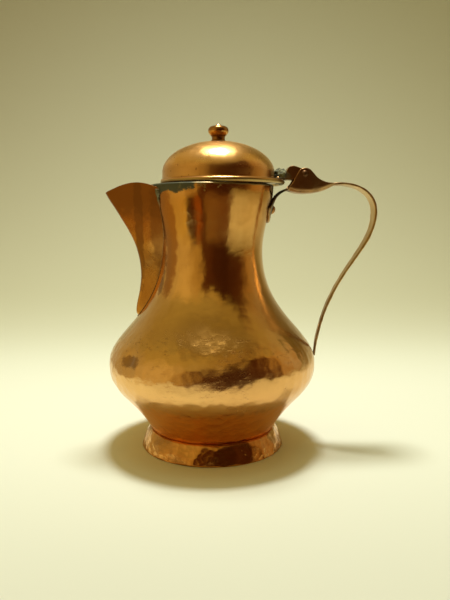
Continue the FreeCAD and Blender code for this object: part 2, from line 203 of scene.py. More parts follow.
def cellNode(tree, vector, scale):
    return addNode(tree, "ShaderNodeTexVoronoi", {"Vector": vector, "Scale": scale}, feature="F1").outputs


def mapRange(tree, value, low, high, toLow=0.0, toHigh=1.0, kind="SMOOTHSTEP"):
    return addNode(tree, "ShaderNodeMapRange", {"Value": value, "From Min": low, "From Max": high,
                                                "To Min": toLow, "To Max": toHigh},
                   interpolation_type=kind).outputs["Result"]


def mixColour(tree, factor, a, b):
    return addNode(tree, "ShaderNodeMix", {0: factor, 6: a, 7: b}, data_type="RGBA").outputs[2]


def mixValue(tree, factor, a, b):
    return addNode(tree, "ShaderNodeMix", {0: factor, 2: a, 3: b}, data_type="FLOAT").outputs[0]


def meshValue(tree, name):
    return addNode(tree, "GeometryNodeInputNamedAttribute", {"Name": name}, data_type="FLOAT").outputs[0]


def finishNode(tree, geometry, material, selection=True):
    return addNode(tree, "GeometryNodeSetMaterial", {"Geometry": geometry, "Material": material,
                                                     "Selection": selection}).outputs[0]


def bumpNode(tree, height, strength, depth):
    return addNode(tree, "ShaderNodeBump", {"Height": height, "Strength": strength,
                                            "Distance": depth}).outputs[0]


def newTree(name, kind, inputs, outputs):
    # an input is given by its value, or by its kind of socket where it has no value
    tree = bpy.data.node_groups.new(name, kind + "NodeTree")
    valueKinds = {float: "Float", int: "Int"}
    for label, value in inputs.items():
        socketKind = valueKinds.get(type(value), value)
        socket = tree.interface.new_socket(label, in_out="INPUT", socket_type="NodeSocket" + socketKind)
        if type(value) in valueKinds:
            socket.default_value = value
    for label, socketKind in outputs.items():
        tree.interface.new_socket(label, in_out="OUTPUT", socket_type="NodeSocket" + socketKind)
    return tree, addNode(tree, "NodeGroupInput").outputs


def runTree(obj, tree, values):
    modifier = obj.modifiers.new(tree.name, "NODES")
    modifier.node_group = tree
    sockets = {s.name: s.identifier for s in tree.interface.items_tree if s.in_out == "INPUT"}
    for name, value in values.items():
        modifier[sockets[name]] = value
    return settle(obj)


hammerBlow = dict(seedStep=0.137, bowlMiddle=0.25, swayReach=4.0)


def makeHammerTree():
    # dents and a broad sway along the normal, as strong as the mesh's dentShare says
    tree, start = newTree("hammerMarks", "Geometry",
                          {"Geometry": "Geometry", "Dent Size": 0.009, "Dent Depth": 0.0001,
                           "Dent Softness": 0.3, "Sway Size": 0.04, "Sway Depth": 0.0001, "Sway Stretch": 1.0,
                           "Seed": 1, "Finish": "Material", "Lining": "Material"}, {"Geometry": "Geometry"})
    place = addNode(tree, "GeometryNodeInputPosition").outputs[0]
    moved = vectorNode(tree, "ADD", place, times(tree, start["Seed"], hammerBlow["seedStep"]))
    cells = addNode(tree, "ShaderNodeTexVoronoi",
                    {"Vector": moved, "Scale": oneOver(tree, start["Dent Size"]),
                     "Smoothness": start["Dent Softness"]}, feature="SMOOTH_F1").outputs["Distance"]
    bowl = minus(tree, mathNode(tree, "POWER", cells, 2.0), hammerBlow["bowlMiddle"])
    dent = times(tree, bowl, start["Dent Depth"])
    upright = joinXyz(tree, 1.0, 1.0, oneOver(tree, start["Sway Stretch"]))
    drawn = vectorNode(tree, "MULTIPLY", moved, upright)
    wave = noise(tree, drawn, oneOver(tree, start["Sway Size"]))
    sway = times(tree, minus(tree, wave, 0.5), start["Sway Depth"])
    share = meshValue(tree, "dentShare")
    swayShare = mathNode(tree, "MULTIPLY", share, hammerBlow["swayReach"], clamp=True)
    push = plus(tree, times(tree, dent, share), times(tree, sway, swayShare))
    normal = addNode(tree, "GeometryNodeInputNormal").outputs[0]
    offset = addNode(tree, "ShaderNodeVectorMath", {0: normal, "Scale": push}, operation="SCALE").outputs[0]
    hit = addNode(tree, "GeometryNodeSetPosition", {"Geometry": start["Geometry"], "Offset": offset})
    real = addNode(tree, "GeometryNodeRealizeInstances", {"Geometry": hit.outputs[0]})
    lined = finishNode(tree, real.outputs[0], start["Lining"])
    outside = mathNode(tree, "LESS_THAN", meshValue(tree, "liningShare"), 0.5)
    addNode(tree, "NodeGroupOutput", {"Geometry": finishNode(tree, lined, start["Finish"], outside)})
    return tree


hammerTree = makeHammerTree()


def hammered(obj, values, finish, lining=None):
    return runTree(obj, hammerTree, dict(values, Finish=finish, Lining=lining or finish))


# what years of use leave on copper: a scale is marks per metre, a range is the part of the noise that shows
oldWear = dict(patchRange=(0.40, 0.68), streakRange=(0.46, 0.72), pitRange=(0.34, 0.12), pitRarity=0.90,
               grainScale=900.0, cloudScale=11.0, rippleScale=210.0,
               fleckScale=190.0, fleckFlat=(1.0, 1.0, 3.2), fleckRange=(0.56, 0.64),
               crowdScale=45.0, crowdRange=(0.42, 0.62), brushScale=80.0, brushFlat=(1.0, 1.0, 14.0))


def makeWearGroup():
    w = oldWear
    marks = ("Patches", "Streaks", "Pits", "Grain", "Cloud", "Ripple", "Flecks", "Brushed")
    tree, start = newTree("oldCopperWear", "Shader",
                          {"Vector": "Vector", "Patch Scale": 26.0, "Streak Scale": 22.0,
                           "Streak Stretch": 26.0, "Pit Scale": 420.0}, dict.fromkeys(marks, "Float"))
    vector = start["Vector"]
    patch = noise(tree, vector, start["Patch Scale"], detail=7.0, roughness=0.62, distortion=0.6)
    long = vectorNode(tree, "MULTIPLY", vector, joinXyz(tree, 1.0, 1.0, start["Streak Stretch"]))
    streak = noise(tree, long, start["Streak Scale"], detail=4.0, roughness=0.7)
    cells = cellNode(tree, vector, start["Pit Scale"])
    spot = mapRange(tree, cells["Distance"], *w["pitRange"])
    chosen = addNode(tree, "ShaderNodeSeparateColor", {"Color": cells["Color"]}).outputs[0]
    rare = mathNode(tree, "GREATER_THAN", chosen, w["pitRarity"])
    flat = vectorNode(tree, "MULTIPLY", vector, w["fleckFlat"])
    fleck = noise(tree, flat, w["fleckScale"], detail=6.0, roughness=0.7)
    crowd = mapRange(tree, noise(tree, vector, w["crowdScale"]), *w["crowdRange"])
    lines = vectorNode(tree, "MULTIPLY", vector, w["brushFlat"])
    addNode(tree, "NodeGroupOutput", {
        "Patches": mapRange(tree, patch, *w["patchRange"]),
        "Streaks": mapRange(tree, streak, *w["streakRange"]),
        "Pits": times(tree, spot, rare),
        "Grain": noise(tree, vector, w["grainScale"], detail=5.0, roughness=0.6),
        "Cloud": noise(tree, vector, w["cloudScale"]),
        "Ripple": noise(tree, vector, w["rippleScale"], detail=3.0, distortion=0.4),
        "Flecks": times(tree, mapRange(tree, fleck, *w["fleckRange"]), crowd),
        "Brushed": noise(tree, lines, w["brushScale"], detail=5.0, roughness=0.6)})
    return tree


planish = dict(waveScale=60.0, waveReach=(0.004, 0.004, 0.004))


def makePlanishGroup():
    # the fine facets that a planishing hammer leaves, as a height
    tree, start = newTree("planishMarks", "Shader", {"Vector": "Vector", "Mark Scale": 150.0},
                          {"Height": "Float"})
    wave = addNode(tree, "ShaderNodeTexNoise", {"Vector": start["Vector"], "Scale": planish["waveScale"],
                                                "Detail": 1.0}).outputs["Color"]
    bent = addNode(tree, "ShaderNodeVectorMath", {0: wave, 1: planish["waveReach"], 2: start["Vector"]},
                   operation="MULTIPLY_ADD").outputs[0]
    far = cellNode(tree, bent, start["Mark Scale"])["Distance"]
    addNode(tree, "NodeGroupOutput", {"Height": mathNode(tree, "POWER", far, 2.0)})
    return tree


raggedPatchEdge = dict(none=1.15, full=0.75, torn=4.0)


def makeRaggedPatchGroup():
    # a ragged patch round a place, the same on the near and the far side of the pot; it places tarnish and
    # painted light alike
    tree, start = newTree("raggedPatchNear", "Shader",
                          {"Vector": "Vector", "Centre": "Vector", "Reach": "Vector", "Ragged": 0.5,
                           "Rag Scale": 140.0}, {"Patch Mask": "Float"})
    split = splitXyz(tree, start["Vector"])
    folded = joinXyz(tree, split["X"], mathNode(tree, "ABSOLUTE", split["Y"]), split["Z"])
    away = vectorNode(tree, "SUBTRACT", folded, start["Centre"])
    scaled = vectorNode(tree, "DIVIDE", away, start["Reach"])
    far = addNode(tree, "ShaderNodeVectorMath", {0: scaled}, operation="LENGTH").outputs["Value"]
    rag = noise(tree, start["Vector"], start["Rag Scale"], detail=5.0, roughness=0.65)
    torn = times(tree, minus(tree, rag, 0.5), start["Ragged"])
    edge = plus(tree, far, times(tree, torn, raggedPatchEdge["torn"]))
    addNode(tree, "NodeGroupOutput", {"Patch Mask": mapRange(tree, edge, raggedPatchEdge["none"], raggedPatchEdge["full"])})
    return tree


wearGroup = makeWearGroup()
planishGroup = makePlanishGroup()
raggedPatchGroup = makeRaggedPatchGroup()


def newMaterial(name):
    material = bpy.data.materials.new(name)
    material.use_nodes = True
    tree = material.node_tree
    shader = next(n for n in tree.nodes if n.type == "BSDF_PRINCIPLED")
    place = addNode(tree, "ShaderNodeTexCoord").outputs["Object"]
    return material, tree, shader, place


def useGroup(tree, group, inputs):
    return addNode(tree, "ShaderNodeGroup", inputs, node_tree=group).outputs


# what can lie on the copper, and the painted reflections, glow, highlight and shade set among it
verdigris = dict(colour=(0.040, 0.052, 0.028, 1), metal=0.15, rough=0.75)
paleVerdigris = dict(colour=(0.28, 0.305, 0.17, 1), metal=0.1, rough=0.8)
# near black: tarnish, and also painted shade at the strap's front end
blackTarnishAndShade = dict(colour=(0.060, 0.034, 0.016, 1), metal=0.9, rough=0.45)
# tin grey: tin and solder, and also painted shade under the lid's edge
tinSolderAndShade = dict(colour=(0.16, 0.165, 0.095, 1), metal=0.7, rough=0.46)
# dark brown: tarnish, and also painted dark reflection at the knock, the dome's foot and down the spout
brownTarnishAndDarkReflection = dict(colour=(0.17, 0.062, 0.014, 1), metal=1.0, rough=0.34)
# red-brown: tarnish, and also painted dark reflection at the dome's foot
redTarnishAndDarkReflection = dict(colour=(0.36, 0.12, 0.02, 1), metal=1.0, rough=0.26)
# pale copper that paints the reflection of the pale sheet as a bright band round the belly: a painted
# reflection
paintedPaleReflection = dict(colour=(0.84, 0.50, 0.21, 1), metal=1.0, rough=0.27)
# bright orange that paints the glow reflected into the lower belly: painted light
paintedOrangeGlow = dict(colour=(0.92, 0.38, 0.05, 1), metal=1.0, rough=0.24)
greenBrown = dict(colour=(0.36, 0.27, 0.10, 1), metal=1.0, rough=0.36)
# tan copper: hand wear on the strap, and a painted highlight on the lug
tanWearAndHighlight = dict(colour=(0.66, 0.43, 0.17, 1), metal=1.0, rough=0.36)
allRound = 9.0


def band(kind, height, reach, ragged, share):
    # a patch of tarnish or painted light is (kind, centre, reach, raggedness of its edge, share); this one
    # goes right round the pot
    return kind, (0.0, 0.0, height), (allRound, allRound, reach), ragged, share


# the three coppers that every finish starts from
polishedCopper = dict(bright=(0.80, 0.46, 0.145, 1), red=(0.72, 0.35, 0.085, 1), brown=(0.30, 0.13, 0.03, 1),
                      roughLow=0.14, roughHigh=0.30, patchScale=24.0, patchShare=0.24, pitShare=0.6,
                      stretch=26.0, streakShare=0.22, planish=0.20, markScale=190.0)
hammeredCopper = dict(bright=(0.80, 0.44, 0.13, 1), red=(0.64, 0.28, 0.065, 1), brown=(0.26, 0.11, 0.028, 1),
                      roughLow=0.15, roughHigh=0.36, patchScale=52.0, patchShare=0.62, pitShare=0.4,
                      stretch=26.0, streakShare=0.22, planish=0.60, markScale=250.0)
darkCopper = dict(bright=(0.48, 0.315, 0.135, 1), red=(0.36, 0.195, 0.075, 1), brown=(0.155, 0.09, 0.04, 1),
                  roughLow=0.32, roughHigh=0.54, patchScale=60.0, patchShare=0.5, pitShare=0.5,
                  stretch=26.0, streakShare=0.22, planish=0.30, markScale=260.0)
copperSkin = dict(cloudRange=(0.38, 0.64), patchDull=0.6, scuffFade=0.010, grain=0.035, ripple=0.55,
                  pitDepth=0.5, brushed=0.5, scuffDepth=0.9, reliefDepth=0.0004)


def makeCopper(name, look):
    skin = copperSkin
    material, tree, shader, place = newMaterial(name)
    wear = useGroup(tree, wearGroup, {"Vector": place, "Patch Scale": look["patchScale"],
                                      "Streak Stretch": look["stretch"]})
    marks = useGroup(tree, planishGroup, {"Vector": place, "Mark Scale": look["markScale"]})
    pits = times(tree, wear["Pits"], look["pitShare"])
    scuffed = None
    if "scuffs" in look:
        low, high, share = look["scuffs"]
        rise = splitXyz(tree, place)["Z"]
        scuffed = times(tree, mapRange(tree, rise, low - skin["scuffFade"], low),
                        mapRange(tree, rise, high + skin["scuffFade"], high))
        pits = times(tree, mathNode(tree, "MAXIMUM", pits, times(tree, wear["Flecks"], share)), scuffed)
    warm = mixColour(tree, mapRange(tree, wear["Cloud"], *skin["cloudRange"]), look["bright"], look["red"])
    toned = mixColour(tree, times(tree, wear["Patches"], look["patchShare"]), warm, look["brown"])
    streaks = times(tree, wear["Streaks"], look["streakShare"])
    drawn = mixColour(tree, streaks, toned, look.get("streak", look["bright"]))
    colour = mixColour(tree, pits, drawn, look["brown"])
    dull = plus(tree, times(tree, wear["Patches"], skin["patchDull"]), pits)
    rough = mapRange(tree, dull, 0.0, 1.0, look["roughLow"], look["roughHigh"])
    metal = 1.0
    for kind, centre, reach, ragged, share in look.get("stainsAndPaintedLight", ()):
        patchMask = useGroup(tree, raggedPatchGroup, {"Vector": place, "Centre": centre, "Reach": reach,
                                            "Ragged": ragged})["Patch Mask"]
        mask = times(tree, patchMask, share)
        colour = mixColour(tree, mask, colour, kind["colour"])
        rough = mixValue(tree, mask, rough, kind["rough"])
        if kind["metal"] < 1:
            metal = mixValue(tree, mask, metal, kind["metal"])
    height = plus(tree, marks["Height"], times(tree, wear["Grain"], skin["grain"]))
    height = plus(tree, height, times(tree, wear["Ripple"], skin["ripple"]))
    height = minus(tree, height, times(tree, pits, skin["pitDepth"]))
    if scuffed:
        scratch = plus(tree, wear["Ripple"], times(tree, wear["Brushed"], skin["brushed"]))
        height = plus(tree, height, times(tree, scratch, times(tree, scuffed, skin["scuffDepth"])))
    relief = bumpNode(tree, height, look["planish"], skin["reliefDepth"])
    shader.inputs["Metallic"].default_value = 1.0
    setInputs(tree, shader, {"Base Color": colour, "Roughness": rough, "Metallic": metal, "Normal": relief})
    return material


tinLining = dict(bright=(0.46, 0.42, 0.34, 1), dull=(0.24, 0.20, 0.14, 1), worn=(0.40, 0.20, 0.09, 1),
                 patchScale=45.0, stretch=12.0, wornShare=0.7, roughLow=0.34, roughHigh=0.55,
                 grain=0.25, reliefDepth=0.0003)


def makeTin(name, look):
    material, tree, shader, place = newMaterial(name)
    wear = useGroup(tree, wearGroup, {"Vector": place, "Patch Scale": look["patchScale"],
                                      "Streak Stretch": look["stretch"]})
    grey = mixColour(tree, wear["Streaks"], look["bright"], look["dull"])
    worn = mixColour(tree, times(tree, wear["Patches"], look["wornShare"]), grey, look["worn"])
    rough = mapRange(tree, wear["Patches"], 0.0, 1.0, look["roughLow"], look["roughHigh"])
    relief = bumpNode(tree, wear["Grain"], look["grain"], look["reliefDepth"])
    setInputs(tree, shader, {"Base Color": worn, "Roughness": rough, "Metallic": 1.0, "Normal": relief})
    return material


hammeredFinish = makeCopper("hammeredCopper", hammeredCopper)
tin = makeTin("tinLining", tinLining)
print("shared materials made")


# vessel body: a raised sheet shell turned about the pot's axis; lengths in mm, tarnish and painted light in
# metres
vessel = dict(
    base=(40.0, 7.0), baseLeg=(14.1, 31.5), belly=(71.3, 59.0), bellyDown=20.2, bellyUp=21.6,
    waist=(34.7, 136.0), waistDown=44.2, waistUp=16.2, rim=(41.8, 180.0), rimLeg=(0.4, -13.3),
    wall=1.2, columns=384, outerRows=200, innerRows=36, lineSteps=400, measureRows=2000,
    lipArc=(10, 170), lipRows=7, tinnedLipRows=2,
    windowLow=123.0, windowHigh=166.0, windowBottom=9.0, windowTop=26.0, windowCorner=3.0, cornerSteps=8,
    windowFrom=-60.0, windowThrough=45.0,
    knock=dict(bearing=-50.0, height=69.0, reach=5.5, depth=2.0),    # the one real knock, on the spout side
    leastDent=0.16, dentsFadeDown=(34.0, 46.0), dentsFadeUp=(86.0, 64.0), lipFade=4.0,
    hammer={"Dent Size": 0.0052, "Dent Depth": 0.00048, "Dent Softness": 0.35, "Sway Size": 0.022,
            "Sway Depth": 0.0008, "Sway Stretch": 2.6, "Seed": 3},
    copper=dict(polishedCopper, stretch=0.10, streak=(0.46, 0.19, 0.035, 1), streakShare=0.45,
                scuffs=(0.045, 0.080, 0.7), stainsAndPaintedLight=[
        # painted reflection: the pale sheet's bright band round the belly
        band(paintedPaleReflection, 0.054, 0.016, 0.25, 0.55),
        # painted light: the orange glow on the lower belly near the foot
        band(paintedOrangeGlow, 0.018, 0.020, 0.2, 0.85),
        # a dark brown patch in the knock, painted for the dark reflection in the dent
        (brownTarnishAndDarkReflection, (-0.0540, 0.0460, 0.0680), (0.0095, 0.0095, 0.0044), 0.45, 0.65),
        band(greenBrown, 0.092, 0.016, 0.35, 0.25),
        # a darker red-brown strip on the neck along each of the spout's seams
        (redTarnishAndDarkReflection, (-0.0285, 0.0250, 0.150), (0.0065, 0.0080, 0.050), 0.25, 0.75),
        (brownTarnishAndDarkReflection, (-0.034, 0.0185, 0.150), (0.004, 0.004, 0.055), 0.3, 0.7),
        # darker brown on the neck under the handle's top end
        (brownTarnishAndDarkReflection, (0.040, 0.0, 0.166), (0.010, 0.017, 0.016), 0.35, 0.7),
        # darker brown on the belly round the handle's lower end
        (brownTarnishAndDarkReflection, (0.068, 0.0, 0.063), (0.010, 0.009, 0.012), 0.4, 0.7),
        # a darker brown band just above the foot ring
        band(brownTarnishAndDarkReflection, 0.0105, 0.0035, 0.25, 0.45),
        (verdigris, (0.042, 0.0, 0.178), (0.010, 0.018, 0.004), 0.5, 0.7),
        # grey band round the rim: tin, with painted shade under the lid's edge
        band(tinSolderAndShade, 0.1800, 0.0014, 0.35, 0.75),
        (tinSolderAndShade, (-0.027, 0.030, 0.1795), (0.026, 0.018, 0.0046), 0.55, 0.95),
        (verdigris, (-0.027, 0.030, 0.1785), (0.020, 0.014, 0.0036), 1.3, 0.65)]))


def vesselLine(count):
    v = vessel
    steps = v["lineSteps"]
    base, belly, waist, rim = (np.array(v[k]) for k in ("base", "belly", "waist", "rim"))
    lower = bezier(base, base + v["baseLeg"], belly - (0, v["bellyDown"]), belly, steps)
    shoulder = bezier(belly, belly + (0, v["bellyUp"]), waist - (0, v["waistDown"]), waist, steps)
    neck = bezier(waist, waist + (0, v["waistUp"]), rim + v["rimLeg"], rim, steps)
    return evenly(np.vstack([lower, shoulder[1:], neck[1:]]), count) * mm


vesselDense = vesselLine(vessel["measureRows"])


def vesselRadius(height):
    return np.interp(height, vesselDense[:, 1], vesselDense[:, 0])


def knocked(points):
    k = vessel["knock"]
    bearing = math.radians(k["bearing"])
    inwards = -np.array([math.sin(bearing), -math.cos(bearing), 0])
    knock = -inwards * vesselRadius(k["height"] * mm) + (0, 0, k["height"] * mm)
    way = np.linalg.norm(points - knock, axis=-1) / (k["reach"] * mm)
    return points + inwards * (np.exp(-way ** 2) * k["depth"] * mm)[..., None]


def cutWindow(obj):
    v = vessel
    low, high, radius = v["windowLow"] * mm, v["windowHigh"] * mm, v["windowCorner"] * mm
    half = {low: v["windowBottom"] * mm / 2, high: v["windowTop"] * mm / 2}
    corners = []
    for z, y, turn in ((low, -1, 180), (low, 1, 270), (high, 1, 0), (high, -1, 90)):
        inward = 1 if z == low else -1
        centre = (y * (half[z] - radius), z + inward * radius)
        corners.append(arcPoints(centre, radius, turn, turn + 90, v["cornerSteps"]))
    outline = np.vstack(corners)
    near = np.insert(outline, 0, v["windowFrom"] * mm, axis=1)
    away = near + (v["windowThrough"] * mm, 0, 0)
    mesh = gridMesh("windowCutter", np.stack([near, away]), wrapColumns=True,
                    poles=((0, near.mean(0)), (1, away.mean(0))))
    faceOutwards(mesh)
    cutter = addObject("windowCutter", mesh)
    cut = obj.modifiers.new("cut", "BOOLEAN")
    cut.object = cutter
    cut.solver = "EXACT"
    settle(obj)
    bpy.data.objects.remove(cutter)


def makeVessel():
    v = vessel
    outer = vesselLine(v["outerRows"])
    lean = np.gradient(outer, axis=0)
    lean /= np.linalg.norm(lean, axis=1)[:, None]
    inner = outer - np.stack([lean[:, 1], -lean[:, 0]], 1) * v["wall"] * mm
    inner[:, 1] = np.clip(inner[:, 1], outer[0, 1], outer[-1, 1])
    lip = outer[-1] - np.array([v["wall"] * mm / 2, 0])
    roll = arcPoints(lip, v["wall"] * mm / 2, *v["lipArc"], v["lipRows"])
    roll[:, 1] -= roll[:, 1].max() - outer[-1, 1]
    outer[-1, 1] = roll[0, 1]
    inside = evenly(inner[::-1], v["innerRows"])
    inside[0, 1] = roll[-1, 1]
    profile = np.vstack([outer, roll, inside])
    points = knocked(turnRows(profile, v["columns"]))
    mesh = gridMesh("vesselBody", points, wrapRows=True, wrapColumns=True)
    share = np.zeros(len(profile))
    rise = outer[:, 1]
    belly = fade(rise / mm, *v["dentsFadeDown"]) * fade(rise / mm, *v["dentsFadeUp"])
    dents = v["leastDent"] + (1 - v["leastDent"]) * belly
    share[:v["outerRows"]] = dents * fade(rise, rise[-1], rise[-1] - v["lipFade"] * mm)
    setShare(mesh, np.repeat(share, v["columns"]))
    lining = np.zeros(len(profile))
    lining[v["outerRows"] + v["lipRows"] - v["tinnedLipRows"]:] = 1
    setShare(mesh, np.repeat(lining, v["columns"]), "liningShare")
    faceOutwards(mesh)
    finish = makeCopper("vesselCopper", v["copper"])
    obj = hammered(addObject("vesselBody", mesh), v["hammer"], finish, tin)
    cutWindow(obj)
    return obj


vesselBody = makeVessel()
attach(vesselBody, "pot")
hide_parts("vessel_body")
print("vessel body:", len(vesselBody.data.polygons), "faces")


# foot ring: a flared band that the body sinks into
foot = dict(radius=49.6, height=12.7, sheet=1.6, bulge=0.6, bite=0.5, edge=0.5, ease=0.05, steps=26,
            innerEvery=3, columns=288, crownRows=2, crownDent=0.7,
            hammer={"Dent Size": 0.0100, "Dent Depth": 0.0011, "Dent Softness": 0.22, "Sway Size": 0.030,
                    "Sway Depth": 0.0010, "Sway Stretch": 2.0, "Seed": 8})


def makeFoot():
    f = foot
    sheet, edge, ease = f["sheet"], f["edge"], f["ease"]
    topOuter = vesselRadius(f["height"] * mm) / mm + sheet - f["bite"]
    low, high = np.array([f["radius"], 0.0]), np.array([topOuter, f["height"]])
    middle = (low + high) / 2 + (2 * f["bulge"], 0)
    t = np.linspace(0, 1, f["steps"])[:, None]
    flare = (1 - t) ** 2 * low + 2 * (1 - t) * t * middle + t ** 2 * high
    outer = flare[(flare[:, 1] > edge) & (flare[:, 1] < f["height"] - edge)]
    inner = outer[::-f["innerEvery"]] - (sheet, 0)
    crown = high - np.array([(2 * ease, edge / 2), (edge, ease), (sheet - edge, ease), (sheet, edge)])
    sole = low - np.array([(sheet, -edge), (sheet - edge, 0), (edge, 0), (ease, -edge / 2)])
    profile = np.vstack([outer, crown, inner, sole]) * mm
    mesh = gridMesh("footRing", turnRows(profile, f["columns"]), wrapRows=True, wrapColumns=True)
    share = np.zeros(len(profile))
    share[:len(outer)] = 1
    share[len(outer):len(outer) + f["crownRows"]] = f["crownDent"]
    setShare(mesh, np.repeat(share, f["columns"]))
    faceOutwards(mesh)
    return hammered(addObject("footRing", mesh), f["hammer"], hammeredFinish)


footRing = makeFoot()
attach(footRing, "pot")
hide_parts("foot_ring")
print("foot ring:", len(footRing.data.polygons), "faces")


# lid: dome and flange in one sheet, each about its own axis, the flange's edge rolled under
lid = dict(
    domeX=4.5, domeRadius=37.9, domeHeight=21.2, domeWall=4.6, sheet=1.2, seat=180.25,
    flangeX=7.4, flangeRadius=42.0, flangeEdge=3.2, fillet=0.9, ease=0.3, hemGap=0.2, hemInner=(0.6, 0.5),
    columns=288, domeTurns=(2, 90, 64), wallDrops=(1.2, 2.4, 3.3), filletTurns=(20, 45, 70),
    beadTurns=(88, -88, 13), innerWallRows=5, innerTurns=(86, 3, 26), untinnedRows=2,
    filletDent=0.6, beadDent=0.8,
    hammer={"Dent Size": 0.011, "Dent Depth": 0.00010, "Sway Size": 0.04, "Sway Depth": 0.0003, "Seed": 5},
    # the lid's copper is paler and more golden than the body's: partly its own polish, partly painted light
    # for the dome's broad glow
    copper=dict(polishedCopper, bright=(0.93, 0.61, 0.24, 1), red=(0.86, 0.47, 0.14, 1), roughLow=0.27,
                roughHigh=0.40, patchShare=0.12, stainsAndPaintedLight=[
        # a dark band round the dome's foot: painted dark reflection, with red-brown tarnish in it
        band(redTarnishAndDarkReflection, 0.1850, 0.0080, 0.25, 0.30),
        band(brownTarnishAndDarkReflection, 0.1855, 0.0050, 0.35, 0.12),
        # darker brown on the dome round the knob's foot
        (brownTarnishAndDarkReflection, (0.0045, 0.0, 0.2085), (0.011, 0.011, 0.005), 0.3, 0.6),
        band(greenBrown, 0.1812, 0.0013, 0.25, 0.8),
        (verdigris, (0.045, 0.0, 0.1855), (0.009, 0.014, 0.006), 0.5, 0.8)]))


def makeLid():
    k = lid
    angle = ringAngles(k["columns"])
    offset = k["flangeX"] - k["domeX"]
    radius, fillet, gap = k["domeRadius"], k["fillet"], k["hemGap"]
    flangeTop = k["seat"] + k["flangeEdge"]
    spring = flangeTop + k["domeWall"]
    half = k["flangeEdge"] / 2
    bead = k["flangeRadius"] - half
    inner = radius - k["sheet"]
    innerHeight = k["domeHeight"] - k["sheet"]
    under = flangeTop - k["sheet"]

    def domeRing(reach, height, share=0.0):
        return np.full(k["columns"], reach), height, share

    def flangeRing(reach, height, least, share=0.0):
        # a ring about the flange's axis, told from the dome's axis
        wide = offset * np.cos(angle) + np.sqrt(reach ** 2 - (offset * np.sin(angle)) ** 2)
        return np.maximum(wide, least), height, share

    outside = [domeRing(radius * math.sin(turn), spring + k["domeHeight"] * math.cos(turn), 1.0)
               for turn in np.radians(np.linspace(*k["domeTurns"]))]
    outside += [domeRing(radius, spring - drop, 1.0) for drop in k["wallDrops"]]
    outside += [domeRing(radius + fillet * (1 - math.cos(turn)), flangeTop + fillet * (1 - math.sin(turn)),
                         k["filletDent"]) for turn in np.radians(k["filletTurns"])]
    outside += [flangeRing(bead + half * math.cos(turn), k["seat"] + half + half * math.sin(turn),
                           radius + fillet + k["ease"] * math.cos(turn), k["beadDent"])
                for turn in np.radians(np.linspace(*k["beadTurns"]))]
    inside = [flangeRing(bead - half, k["seat"] + gap, inner + k["hemInner"][0]),
              flangeRing(bead - half, under - gap, inner + k["hemInner"][1]),
              domeRing(inner + gap, under)]
    inside += [domeRing(inner, under + rise)
               for rise in np.linspace(k["ease"], spring - under, k["innerWallRows"])]
    inside += [domeRing(inner * math.sin(turn), spring + innerHeight * math.cos(turn))
               for turn in np.radians(np.linspace(*k["innerTurns"]))]
    rings = outside + inside
    rows = [np.stack([k["domeX"] + reach * np.cos(angle), reach * np.sin(angle),
                      np.full(k["columns"], height)], 1) for reach, height, _ in rings]
    top = np.array([k["domeX"], 0, spring + k["domeHeight"]]) * mm
    mesh = gridMesh("lid", np.array(rows) * mm, wrapColumns=True,
                    poles=((0, top), (-1, top - (0, 0, k["sheet"] * mm))))
    setShare(mesh, np.repeat([share for _, _, share in rings], k["columns"]))
    lining = np.zeros(len(rings))
    lining[len(outside) + k["untinnedRows"]:] = 1
    setShare(mesh, np.repeat(lining, k["columns"]), "liningShare")
    faceOutwards(mesh)
    finish = makeCopper("lidCopper", k["copper"])
    return hammered(addObject("lidDome", mesh), k["hammer"], finish, tin)


lidDome = makeLid()
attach(lidDome, "lid")
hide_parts("lid")
print("lid:", len(lidDome.data.polygons), "faces")


# spout: one sheet folded round a narrow nose, both edges let into the body
spout = dict(
    footHeight=90.0, footSink=3.2, footWidth=7.2, tipReach=29.4, mouthWidth=51.0, overRim=6.0,
    noseRadius=4.5, noseFootLeg=(17.5, 3.9), noseMouthLeg=(-29.6, -62.5), seamFootLeg=(6.1, 74.3),
    seamMouthLeg=(-10.7, -69.8), sheet=1.1, crest=0.9, crestOut=10.3, drop=4.6, seamDrop=3.4,
    bite=0.6, lineSteps=600, flankShare=0.3, flankSteps=18, noseSteps=12, rows=90, edgeTries=30,
    edgeWave=0.22, edgeWaves=4, edgeSeed=4, edgeRound=0.3, edgeRoundSteps=3, edgeAngle=50,
    hammer={"Dent Size": 0.0090, "Dent Depth": 0.00022, "Sway Size": 0.03, "Sway Depth": 0.0007, "Seed": 12},
    copper=dict(hammeredCopper, bright=(0.66, 0.34, 0.078, 1), red=(0.50, 0.21, 0.040, 1), roughLow=0.24,
                roughHigh=0.42, stretch=0.08, streak=(0.34, 0.12, 0.022, 1), streakShare=0.8,
                patchShare=0.4, planish=0.14, stainsAndPaintedLight=[
        band(redTarnishAndDarkReflection, 0.192, 0.048, 0.22, 0.85),
        band(brownTarnishAndDarkReflection, 0.188, 0.030, 0.22, 0.65),
        # dark brown streaks down the spout: partly tarnish, partly painted reflection
        (brownTarnishAndDarkReflection, (-0.036, 0.016, 0.140), (0.006, 0.010, 0.060), 0.3, 0.6),
        (brownTarnishAndDarkReflection, (-0.049, 0.013, 0.156), (0.0032, 0.030, 0.050), 0.4, 0.65)]))


def spoutSeamLine():
    s = spout
    low = np.array([s["footWidth"] / 2, s["footHeight"]])
    mouth = np.array([s["mouthWidth"] / 2, vessel["rim"][1] + s["overRim"]])
    return bezier(low, low + s["seamFootLeg"], mouth + s["seamMouthLeg"], mouth, s["lineSteps"])


